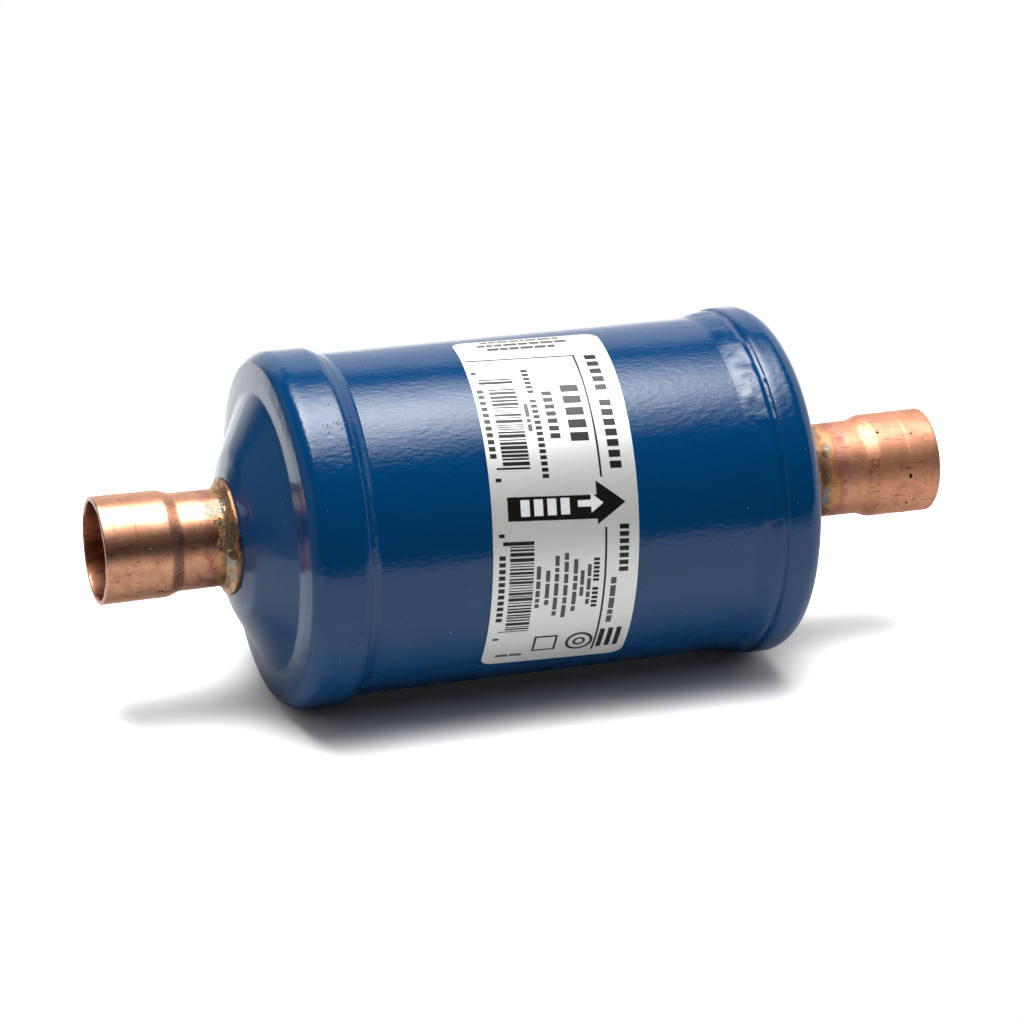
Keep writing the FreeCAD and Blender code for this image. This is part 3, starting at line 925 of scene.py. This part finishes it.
def labelPrint(dark, grey, pale):
    layout = printLayout
    pick = random.Random(layout["seed"])
    black = bmesh.new()
    for rectangle in layout["rules"] + layout["endBars"]:
        block(black, *rectangle)
    for left, right, guard, top, bottom in layout["barCodes"]:
        place = top
        while place < bottom:
            thick = pick.choice(layout["barWidths"])
            atEnd = place < top + layout["barEnds"] or place > bottom - layout["barEnds"]
            block(black, guard if atEnd else left, right, place, min(bottom, place + thick))
            place += thick + pick.choice(layout["barGaps"])
    for word in layout["bigWords"] + layout["smallWords"]:
        letters(black, *word)
    arrow(black, *layout["arrow"])
    for place in layout["rings"]:
        ring(black, *place)
    left, right, top, bottom, line = layout["frame"]
    stroke = math.degrees(line / labelShape["radius"])
    for side in ((left, right, top, top + stroke), (left, right, bottom - stroke, bottom),
                 (left, left + line, top + stroke, bottom - stroke),
                 (right - line, right, top + stroke, bottom - stroke)):
        block(black, *side)
    piece("label_print", wrapped(black, layout["lift"]), [dark], None)
    fine = bmesh.new()
    for column in layout["fineColumns"]:
        fineLine(fine, pick, *column, False)
    for row in layout["fineRows"]:
        fineLine(fine, pick, *row, True)
    piece("label_small_print", wrapped(fine, layout["lift"]), [grey], None)
    light = bmesh.new()
    for rectangle in layout["lightBlocks"]:
        block(light, *rectangle)
    arrow(light, *layout["lightArrow"])
    piece("label_arrow_blocks", wrapped(light, 2 * layout["lift"]), [pale], None)


# Inner pieces

def dress(node, finish):
    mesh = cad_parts[node].data
    mesh.materials.clear()
    mesh.materials.append(finish)


# Camera, floor and light

studio = {
    "cameraPlace": (-0.2596, -0.7544, 0.2757), "azimuth": -18.83, "elevation": 19.2, "lens": 128.6,
    "floorHeight": -collarRadius * mm, "floorFront": -0.21, "floorLeft": -0.22, "floorSize": (3.2, 3.7),
    # the floor's white for light, for the camera and in reflections
    "floorWhite": 0.8, "floorSeen": 1.25, "floorShine": 0.45,
    # the oval round the object that keeps its shadow, in millimetres, and how many ovals out the fade ends
    "shadowMiddle": 20, "shadowReach": (170, 120), "shadowFade": 1.7,
    # the far floor's reflection is brighter by backShine beyond these millimetres
    "backShine": 1.65, "backFrom": (60, 160),
    # the soft box: middle and half sizes in metres, glow at its middle and edge, how fast it falls off,
    # how flat its middle is, its fall towards both ends, its slope and its fade towards the right
    "boxPlace": (0.05, -0.01, 0.8), "boxHalf": (0.375, 0.455), "boxPeak": 21.2, "boxEdge": 1.7,
    "boxFall": 1.6, "boxFlat": 0.08, "boxEnds": 0.15, "boxTurn": 0.35, "boxFade": 0.38,
    # the surroundings: their white, the light from all round and from above, how far that leans back and
    # how high it is, and the skyline's soft edge in degrees
    "whiteSeen": 0.92, "fill": 0.04, "skyFill": 0.45, "skyFrom": (0.5, 0.87), "skySoft": (-4, 3),
}

# the white surroundings by bearing from straight behind, towards the right: how high they reach and how
# bright they are
skyline = [(-180, -20), (-140, 0), (-125, 34), (74, 44), (84, 36), (100, 30), (112, -12), (180, -20)]
skyGlow = [(-180, 0.0), (-135, 0.0), (-115, 0.25), (-42, 0.22), (-36, 0.03), (-29, 0.08), (-15, 1.0),
           (104, 1.0), (114, 0.3), (180, 0.0)]


def setCamera():
    camera = bpy.data.objects.new("camera", bpy.data.cameras.new("camera"))
    bpy.context.scene.collection.objects.link(camera)
    azimuth, elevation = math.radians(studio["azimuth"]), math.radians(studio["elevation"])
    back = Vector((math.sin(azimuth) * math.cos(elevation), -math.cos(azimuth) * math.cos(elevation),
                   math.sin(elevation)))
    camera.location = studio["cameraPlace"]
    camera.rotation_mode = "QUATERNION"
    camera.rotation_quaternion = (-back).to_track_quat("-Z", "Y")
    camera.data.sensor_width = 36
    camera.data.lens = studio["lens"]
    camera.data.clip_start = 0.01
    camera.data.clip_end = 20
    bpy.context.scene.camera = camera


def stagePiece(name, skin, finish):
    mesh = bpy.data.meshes.new(name)
    skin.to_mesh(mesh)
    skin.free()
    mesh.materials.append(finish)
    made = bpy.data.objects.new(name, mesh)
    bpy.context.scene.collection.objects.link(made)
    return made


def floorFinish():
    # plain white, which turns to the backdrop's even white away from the object for rays that see it
    made, sheet = material("floor_white")
    along, across = sheet.axes(sheet.place())[:2]
    wide, deep = studio["shadowReach"]
    away = ((along / wide) ** 2 + ((across - studio["shadowMiddle"]) / deep) ** 2) ** 0.5
    path = sheet.node("ShaderNodeLightPath")
    direct = sheet.clamped(path["Is Camera Ray"] + path["Is Transmission Ray"])
    seen = sheet.clamped(direct + path["Is Glossy Ray"])
    white = studio["floorWhite"]
    level = (white + direct * (studio["floorSeen"] - white)
             + path["Is Glossy Ray"] * (studio["floorShine"] - white))
    plain = sheet.node("ShaderNodeBsdfDiffuse", {}, {"Color": sheet.grey(level)})["BSDF"]
    back = 1 + sheet.step(across, *studio["backFrom"]) * (studio["backShine"] - 1)
    glow = direct + (1 - direct) * back * studio["whiteSeen"]
    even = sheet.node("ShaderNodeEmission", {}, {"Color": sheet.grey(glow)})["Emission"]
    share = sheet.step(away, 1.0, studio["shadowFade"]) * seen
    both = sheet.node("ShaderNodeMixShader", {}, {0: share, 1: plain, 2: even})["Shader"]
    sheet.node("ShaderNodeOutputMaterial", {}, {"Surface": both})
    return made


def setFloor():
    wide, depth = studio["floorSize"]
    sheet = bmesh.new()
    middle = Matrix.Translation((studio["floorLeft"] + wide / 2, studio["floorFront"] + depth / 2,
                                 studio["floorHeight"]))
    bmesh.ops.create_grid(sheet, x_segments=1, y_segments=1, size=0.5,
                          matrix=middle @ Matrix.Diagonal((wide, depth, 1, 1)))
    stagePiece("floor", sheet, floorFinish())


def softBox():
    # overhead soft box, brightest along its middle
    made, sheet = material("soft_box")
    x, y, z = studio["boxPlace"]
    halfX, halfY = studio["boxHalf"]
    along, across = sheet.axes(sheet.place())[:2]
    side = (along - x / mm) / (halfX / mm)
    over = (across - y / mm) / (halfY / mm)
    off = (side ** 6 * studio["boxEnds"] + over ** 2 + studio["boxFlat"]) ** 0.5
    inner = sheet.positive(1 - off)
    glow = studio["boxEdge"] + (studio["boxPeak"] - studio["boxEdge"]) * inner ** studio["boxFall"]
    glow = glow * (1 - side * studio["boxTurn"]) * (1 - sheet.step(side, 0.35, 1.0) * studio["boxFade"])
    light = sheet.node("ShaderNodeEmission", {}, {"Color": sheet.grey(glow)})["Emission"]
    sheet.node("ShaderNodeOutputMaterial", {}, {"Surface": light})
    pane = bmesh.new()
    bmesh.ops.create_grid(pane, x_segments=1, y_segments=1, size=1,
                          matrix=Matrix.Translation((x, y, z)) @ Matrix.Diagonal((halfX, -halfY, 1, 1)))
    stagePiece("soft_box", pane, made).visible_camera = False


def setWorld():
    # white for the camera; for the rest white surroundings as high as the skyline, and a dark room above
    # and in front
    world = bpy.data.worlds.new("studio")
    bpy.context.scene.world = world
    world.use_nodes = True
    sheet = Sheet(world.node_tree)
    x, y, z = sheet.axes(sheet.node("ShaderNodeTexCoord")["Generated"])
    level = (x ** 2 + y ** 2) ** 0.5
    degrees = 180 / math.pi
    rise = sheet.node("ShaderNodeMath", {"operation": "ARCTAN2"}, {0: z, 1: level})["Value"] * degrees
    bearing = sheet.node("ShaderNodeMath", {"operation": "ARCTAN2"}, {0: x, 1: y})["Value"] * degrees
    heights = [((turn + 180) / 360, ((top + 90) / 180,) * 3) for turn, top in skyline]
    glows = [((turn + 180) / 360, (glow,) * 3) for turn, glow in skyGlow]
    top = sheet.axes(sheet.ramp((bearing + 180) / 360, heights))[0] * 180 - 90
    bright = sheet.axes(sheet.ramp((bearing + 180) / 360, glows))[0]
    path = sheet.node("ShaderNodeLightPath")
    behind, above = studio["skyFrom"]
    overhead = sheet.positive(y * behind + z * above)
    soft = path["Is Diffuse Ray"] * (studio["fill"] + overhead * studio["skyFill"])
    around = sheet.step(top - rise, *studio["skySoft"]) * bright * studio["whiteSeen"] + soft
    plain = sheet.clamped(path["Is Camera Ray"] + path["Is Transmission Ray"])
    light = sheet.node("ShaderNodeBackground", {}, {"Color": (1, 1, 1, 1),
                                                    "Strength": plain + (1 - plain) * around})["Background"]
    sheet.node("ShaderNodeOutputWorld", {}, {"Surface": light})


setCamera()
setFloor()
softBox()
setWorld()
bpy.context.scene.view_settings.view_transform = "Standard"
print("stage set")

paint = bluePaint()
shellTube(paint)
bore, rimFinish = copperBore(), copperRim()
for side, end, marks in ((-1, "inlet", inletMarks), (1, "outlet", outletMarks)):
    endCap(end + "_end_cap", side, paint)
    weldBead(end + "_weld_bead", side, paint)
    stub(end + "_stub", side, copper(end + "_copper", marks), bore, rimFinish)
    brazeRing(end + "_braze_ring", side, brazeMetal(end + "_braze", marks, neckTip(side)))
print("shell, caps, welds and sockets made")

labelSheet(labelFoil())
labelPrint(labelInk("black"), labelInk("grey"), labelInk("light"))
print("label made")

for finish, nodes in ((plateSteel("pressed_plate"), ("pressure_plate", "outlet_plate")),
                      (plateSteel("spring_wire"), ("core_spring",)),
                      (wovenSteel(), ("inlet_mesh", "outlet_mesh", "bed_screen")),
                      (fibrePad("felt"), ("inlet_pad", "outlet_coarse_pad")),
                      (fibrePad("glass_fibre"), ("outlet_fine_pad",)),
                      (beadBed(), ("desiccant_bed",))):
    for node in nodes:
        dress(node, finish)
print("inner pieces dressed")
